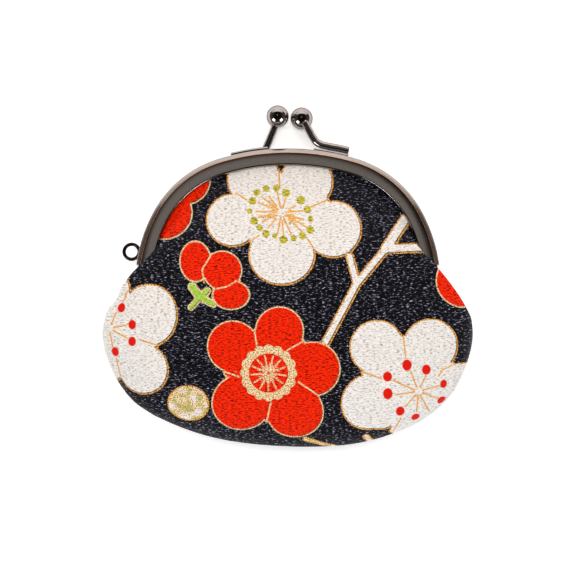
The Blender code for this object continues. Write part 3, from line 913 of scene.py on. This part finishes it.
def between(at, middles):
    """Signed distance to the convex shape whose corners are the petals' middles."""
    heart = np.mean(middles, axis=0)
    ring_order = sorted(middles, key=lambda m: math.atan2(m[1] - heart[1], m[0] - heart[0]))
    sides = []
    for start, end in zip(ring_order, ring_order[1:] + ring_order[:1]):
        line = (end - start) / np.linalg.norm(end - start)
        sides.append((at - start) @ np.array((line[1], -line[0])))
    return np.maximum.reduce(sides)


def webs(at, divisions):
    """Signed distances to narrow strips along the divisions, where two petals meet."""
    strips = []
    for x0, y0, x1, y1 in divisions:
        start, end = unrolled(x0, y0), unrolled(x1, y1)
        start = start + (end - start) / np.linalg.norm(end - start) * WEB_START
        strips.append(bar(at, start, end, WEB_HALF))
    return strips


def blossom_shape(at, blossom):
    """Signed distance to a blossom: its petals and what lies between their middles."""
    petals = [(unrolled(x, y), rx, ry) for x, y, rx, ry in blossom["petals"]]
    petals += [(unrolled(x, y) + (dx, dy), r, r) for x, y, dx, dy, r in blossom["far_petals"]]
    parts = [disc(at, middle, rx, ry) for middle, rx, ry in petals]
    parts.append(between(at, [middle for middle, rx, ry in petals]))
    return union(parts + discs(at, blossom.get("lobes", [])) + webs(at, blossom["divisions"]))


def print_fields(at):
    """Signed distances from chart places to each kind of printed shape."""
    white = union([blossom_shape(at, blossom) for blossom in BLOSSOMS.values()])
    blossom = union(discs(at, RED_PETALS) + webs(at, RED_DIVISIONS)
                    + [between(at, [unrolled(x, y) for x, y, rx, ry in RED_PETALS])])
    white = np.minimum(white, np.maximum(union(bars(at, BRANCH)), -blossom))
    bud = union(discs(at, RED_BUD))
    x, y, dx, dy, radius = RED_FAR_RIGHT
    red = union([blossom, bud, disc(at, unrolled(x, y) + (dx, dy), radius)]
                + discs(at, RED_TOP_LEFT))
    green = np.maximum(union(bars(at, CALYX)), -bud)
    pale = union(discs(at, [PALE_BUD]) + bars(at, TWIGS))
    pale = np.maximum(pale, -np.minimum(red, white))
    return white, red, green, pale


def print_marks(at):
    """Signed distances to the pollen dots, the red dots and the scalloped ring."""
    pollen = union(discs(at, [(x, y, r, r) for x, y, r in POLLEN]))
    dots = union(discs(at, RED_DOTS))
    heart = unrolled(*RED_HEART)
    from_heart = np.linalg.norm(at - heart, axis=-1)
    lobes = [disc(at, heart + SCALLOPS["reach"] * np.array((math.cos(a), math.sin(a))),
                  SCALLOPS["radius"])
             for a in np.arange(SCALLOPS["count"]) * 2 * math.pi / SCALLOPS["count"]]
    band = np.abs(from_heart - SCALLOPS["band"]) - SCALLOPS["half"]
    ring_mark = np.maximum(np.minimum(union(lobes), band), SCALLOPS["hole"] - from_heart)
    return pollen, dots, ring_mark


def ray(heart, angle, near, reach):
    """Line away from a blossom's heart, at an angle that turns leftward from the right."""
    way = np.array((math.cos(angle), -math.sin(angle)))
    return (*(heart + near * way), *(heart + reach * way))


def print_strokes(at):
    """Offset from the nearest drawn line, signed, and the distance to it."""
    lines = []
    for blossom in BLOSSOMS.values():
        heart = blossom["heart"]
        lines += [ray(heart, math.radians(angle), RAY_STARTS[number % 2], reach)
                  for number, (angle, reach) in enumerate(blossom.get("rays", []))]
        for x, y in blossom.get("ray_ends", []):
            dx, dy = x - heart[0], heart[1] - y
            lines.append(ray(heart, math.atan2(dy, dx), RAY_STARTS[0], math.hypot(dx, dy)))
        lines += blossom["divisions"]
    for i in range(RED_RAYS["count"]):
        angle = -2 * math.pi * (i + RED_RAYS["first"]) / RED_RAYS["count"]
        lines.append(ray(RED_HEART, angle, RED_RAYS["start"], RED_RAYS["end"]))
    lines += RED_DIVISIONS + RED_BUD_DIVISIONS
    offset = np.full(at.shape[:2], OUTSIDE)
    distance = np.full(at.shape[:2], OUTSIDE)
    for x0, y0, x1, y1 in lines:
        start, end = unrolled(x0, y0), unrolled(x1, y1)
        line = (end - start) / np.linalg.norm(end - start)
        away = bar(at, start, end, 0)
        beside = (at[..., 0] - start[0]) * line[1] - (at[..., 1] - start[1]) * line[0]
        nearer = away < distance
        distance = np.where(nearer, away, distance)
        offset = np.where(nearer, beside, offset)
    return offset, distance


# Printed crepe: navy ground, pebbled in short level grains, with the print in white, red
# and gold. The grains catch the light as bumps, and most colours also go from dark to light
# with the height of the grain: painted shade in its valleys and, on the navy, painted glints
# on its ridges. Its scales are in a millimetre of cloth: grains of 1.6 by 0.5 mm, a little
# coarser than real ones so that they show, gold that breaks up in specks of 0.4 mm, and
# blotches of 3 mm.
GRAINS = (0.62, 2.05, 1.0)
SPECKS = 2.4
BLOTCHES = 0.30
STRAY = (1.1, 0.9, 0.0)  # millimetres that the threads stray, along and across
crepe, tree, shader = new_material("printed_chirimen_crepe")
flat = add(tree, "ShaderNodeUVMap", {}, uv_map="cloth_mm")
sway = add(tree, "ShaderNodeTexNoise", {"Vector": flat.outputs["UV"], "Scale": 0.7, "Detail": 2.0})
swayed = add(tree, "ShaderNodeVectorMath", {0: sway.outputs["Color"], 1: STRAY},
             operation="MULTIPLY")
moved = add(tree, "ShaderNodeVectorMath", {0: flat.outputs["UV"], 1: swayed.outputs[0]},
            operation="ADD")
laid = add(tree, "ShaderNodeVectorMath", {0: moved.outputs[0], 1: GRAINS},
           operation="MULTIPLY")
pebble = add(tree, "ShaderNodeTexVoronoi", {"Vector": laid.outputs[0], "Scale": 1.0,
                                            "Randomness": 1.0}, feature="F1",
             voronoi_dimensions="2D")
thread = add(tree, "ShaderNodeTexNoise", {"Vector": laid.outputs[0], "Scale": 1.45, "Detail": 2.0,
                                          "Roughness": 0.55})
grain = add(tree, "ShaderNodeMix", {"Factor": 0.5, "A": pebble.outputs["Distance"],
                                    "B": thread.outputs["Fac"]})
speck = add(tree, "ShaderNodeTexNoise", {"Vector": flat.outputs["UV"], "Scale": SPECKS,
                                         "Detail": 1.0})
stored = {}
for title in ("print_fills", "print_marks", "print_strokes", "print_edges"):
    value = add(tree, "ShaderNodeAttribute", {}, attribute_name=title)
    parts = add(tree, "ShaderNodeSeparateXYZ", {"Vector": value.outputs["Vector"]})
    stored[title] = [*parts.outputs, value.outputs["Alpha"]]
white_fill, red_fill, green_fill = stored["print_fills"][:3]
pollen_mark, dot_mark, ring_mark = stored["print_marks"][:3]
stroke_offset, stroke_distance = stored["print_strokes"][:2]
white_edge, red_edge, green_edge, pale_edge = stored["print_edges"]


def inside(distance, limit, soft=0.35, around=False):
    """1 where distance is below limit, 0 above it. Around an outline its sign is dropped."""
    if around:
        distance = add(tree, "ShaderNodeMath", {0: distance}, operation="ABSOLUTE").outputs[0]
    return add(tree, "ShaderNodeMapRange", {"Value": distance, "From Min": limit - soft,
                                            "From Max": limit + soft, "To Min": 1.0,
                                            "To Max": 0.0}).outputs["Result"]


def printed(color, layers):
    """Colour with (colour, mask) layers printed on it in turn, each where its mask is 1."""
    for ink, mask in layers:
        mixed = add(tree, "ShaderNodeMix", {"Factor": mask, "A": color, "B": ink},
                    data_type="RGBA")
        color = mixed.outputs["Result"]
    return color


def flecked(dark, light, start, end, by=thread):
    """Colour that goes from dark to light with the grain. By default it follows the thread noise
    that also raises the bump, which paints shade into the valleys and light onto the ridges.
    """
    share = add(tree, "ShaderNodeMapRange", {"Value": by.outputs["Fac"], "From Min": start,
                                             "From Max": end})
    return printed(srgb(dark), [(srgb(light), share.outputs["Result"])])


# Half widths of an outline and of a drawn line, and how far the line runs past its end, in
# steps of PIXEL. Colours other than white reach in under their outline by part of its width
LINE = 0.72
STROKE = 0.76
STROKE_END = 1.4
OVERLAP = 0.6
# The navy's pale flecks are painted glints on the ridges of the grain.
navy_with_painted_glints = flecked("07070c", "dcdeff", 0.59, 0.76)
# White, red, green and olive darken into the grain's valleys, partly the crepe's own grain and
# partly painted shade.
white_cloth = flecked("a08c7a", "f3f2f0", 0.31, 0.50)
red_cloth = flecked("5a0000", "ff2a02", 0.35, 0.52)
green_cloth = flecked("7fae2c", "b9e060", 0.35, 0.6)
olive = flecked("6e6a10", "d8cc4c", 0.40, 0.54)
fine_gold = flecked("c07c24", "f6bc4c", 0.38, 0.54, speck)
gold = flecked("2c1606", "fcb858", 0.40, 0.52, speck)
cream = flecked("b07a2c", "fbeabf", 0.40, 0.56, speck)
on_red = inside(red_fill, -LINE * OVERLAP)
blotch = add(tree, "ShaderNodeTexNoise", {"Vector": flat.outputs["UV"], "Scale": BLOTCHES,
                                          "Detail": 3.0})
bud_green = flecked("8c8434", "cfc67c", 0.38, 0.56, speck)
bud_color = printed(white_cloth, [(cream, inside(blotch.outputs["Fac"], 0.56, 0.05)),
                                  (bud_green, inside(blotch.outputs["Fac"], 0.44, 0.05))])
line_color = printed(fine_gold, [(cream, on_red)])
line_mask = add(tree, "ShaderNodeMath", {0: inside(stroke_offset, STROKE, around=True),
                                         1: inside(stroke_distance, STROKE_END)},
                operation="MULTIPLY")
color = printed(navy_with_painted_glints, [
    (white_cloth, inside(white_fill, -LINE)),
    (red_cloth, on_red),
    (green_cloth, inside(green_fill, -LINE * OVERLAP)),
    (bud_color, inside(pale_edge, -LINE * OVERLAP)),
    (olive, inside(pollen_mark, 0)),
    (line_color, line_mask.outputs[0]),
    (srgb("e01a08"), inside(dot_mark, 0)),
    (cream, inside(ring_mark, 0)),
    (gold, inside(white_edge, LINE, around=True)),
    (cream, inside(red_edge, LINE * 0.9, around=True)),
    (cream, inside(green_edge, LINE, around=True)),
    (gold, inside(pale_edge, LINE, around=True)),
])
relief = add(tree, "ShaderNodeBump", {"Height": grain.outputs["Result"], "Strength": 0.9,
                                      "Distance": 0.0005})
fill(tree, shader, {"Base Color": color, "Normal": relief.outputs["Normal"], "Roughness": 0.6,
                    "Specular IOR Level": 0.08})


def waver(points, scale, seed):
    """Smooth noise, about -1 to 1, at each point."""
    flat_points = points.reshape(-1, points.shape[-1]) / scale
    found = [noise.noise((x, y, seed)) for x, y in flat_points[:, :2]]
    return np.array(found).reshape(points.shape[:-1])


def creased(surface, toward, seed):
    """Surface with the soft waves, the gathers at the lip and the puckers at the seam."""
    normal = normals_of(surface, toward)
    run = np.cumsum(step_lengths(surface), axis=1)
    run = np.concatenate([np.zeros((surface.shape[0], 1)), run], axis=1)
    from_lip = np.maximum(run - run[:, lip_row:lip_row + 1], 0)
    to_seam = run[:, -1:] - run
    lift = sum(depth * waver(surface, length, seed + SEED_STEP * number)
               for number, (depth, length) in enumerate(WAVES))
    for row, away, level, (depth, length, reach) in ((lip_row, from_lip, 0.5, GATHERS),
                                                     (-1, to_seam, 3.5, PUCKERS)):
        line = np.cumsum(np.linalg.norm(np.diff(surface[:, row], axis=0), axis=1))
        ripple = np.array([noise.noise((x / length, seed, level)) for x in (0, *line)])
        lift = lift + depth * ripple[:, None] * np.exp(-away / reach)
    if toward < 0:
        lift = lift - BACK_TUCK[0] * np.exp(-(to_seam / BACK_TUCK[1]) ** 2)
    held = np.clip(from_lip / HELD_AT_LIP, 0, 1) * np.clip(to_seam / HELD_AT_SEAM, 0, 1)
    made = surface + normal * (lift * held)[..., None]
    from_dent = (seen_at(surface) - DENT_PLACE) / DENT_SIZE
    made[..., 0] += DENT_DEPTH * np.exp(-(from_dent ** 2).sum(axis=-1))
    return made


def walled(name, surface, toward, chart, grain_chart):
    """Closed sheet of cloth: the outside, an inside one wall further in, and the rim."""
    normal = normals_of(surface, toward)
    wide, tall = surface.shape[:2]
    inner = (surface - normal * CLOTH)[::WALL_STEP, ::WALL_STEP]
    inner_wide, inner_tall = inner.shape[:2]
    first = wide * tall
    index = np.arange(first).reshape(wide, tall)
    inside_index = first + np.arange(inner_wide * inner_tall).reshape(inner_wide, inner_tall)
    outer_faces = np.stack([index[:-1, :-1], index[:-1, 1:], index[1:, 1:], index[1:, :-1]],
                           axis=-1)
    inner_faces = np.stack([inside_index[:-1, :-1], inside_index[1:, :-1],
                            inside_index[1:, 1:], inside_index[:-1, 1:]], axis=-1)
    faces = outer_faces.reshape(-1, 4).tolist() + inner_faces.reshape(-1, 4).tolist()
    rims = [(index[:, 0], inside_index[:, 0]), (index[-1, :], inside_index[-1, :]),
            (index[::-1, -1], inside_index[::-1, -1]), (index[0, ::-1], inside_index[0, ::-1])]
    for outer, inner_line in rims:
        for i in range(len(inner_line) - 1):
            strip = outer[i * WALL_STEP:(i + 1) * WALL_STEP + 1].tolist()
            faces.append(strip + [int(inner_line[i + 1]), int(inner_line[i])])
    if toward < 0:
        faces = [face[::-1] for face in faces]
    mesh = bpy.data.meshes.new(name)
    points = np.concatenate([surface.reshape(-1, 3), inner.reshape(-1, 3)])
    mesh.from_pydata(points.tolist(), [], faces)
    chart_all, grain_all = [np.concatenate([c.reshape(-1, 2),
                                            c[::WALL_STEP, ::WALL_STEP].reshape(-1, 2)])
                            for c in (chart, grain_chart)]
    layer = mesh.uv_layers.new(name="cloth_mm")
    corner = np.empty(len(mesh.loops), dtype=np.int32)
    mesh.loops.foreach_get("vertex_index", corner)
    layer.data.foreach_set("uv", (grain_all[corner] * PIXEL * 1000).astype(np.float32).ravel())
    shifted = chart_all[None] + FILL_SHIFT
    plain = chart_all[None]
    white, red, green, pale = print_fields(plain)
    white_fill, red_fill, green_fill = print_fields(shifted)[:3]
    pollen, dots, ring_mark = print_marks(plain)
    offset, distance = print_strokes(plain)
    for title, parts in (("print_fills", (white_fill, red_fill, green_fill)),
                         ("print_marks", (pollen, dots, ring_mark)),
                         ("print_strokes", (offset, distance, 0 * distance))):
        made = mesh.attributes.new(title, "FLOAT_VECTOR", "POINT")
        made.data.foreach_set("vector", np.stack([p[0] for p in parts], axis=-1)
                              .astype(np.float32).ravel())
    made = mesh.attributes.new("print_edges", "FLOAT_COLOR", "POINT")
    made.data.foreach_set("color", np.stack([white[0], red[0], green[0], pale[0]], axis=-1)
                          .astype(np.float32).ravel())
    return mesh


back_chart, back_grain = [np.stack([BACK_SHIFT[0] + c[..., 0], BACK_SHIFT[1] - c[..., 1]],
                                   axis=-1)
                          for c in (front_chart, front_grain)]
front = creased(front, 1, SEEDS["front"])
back = creased(back, -1, SEEDS["back"])
back[..., 2] = np.maximum(back[..., 2], -table_depth(back[..., 1]))
for name, surface, toward, chart, grain_chart in (
        ("front", front, 1, front_chart, front_grain), ("back", back, -1, back_chart, back_grain)):
    mesh = walled("crepe_panel_" + name, surface, toward, chart, grain_chart)
    mesh.transform(lying)
    mesh.shade_smooth()
    mesh.materials.append(crepe)
    panel = linked("crepe_panel_" + name, mesh)
    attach(panel, "root")
    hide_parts("panel_" + name)
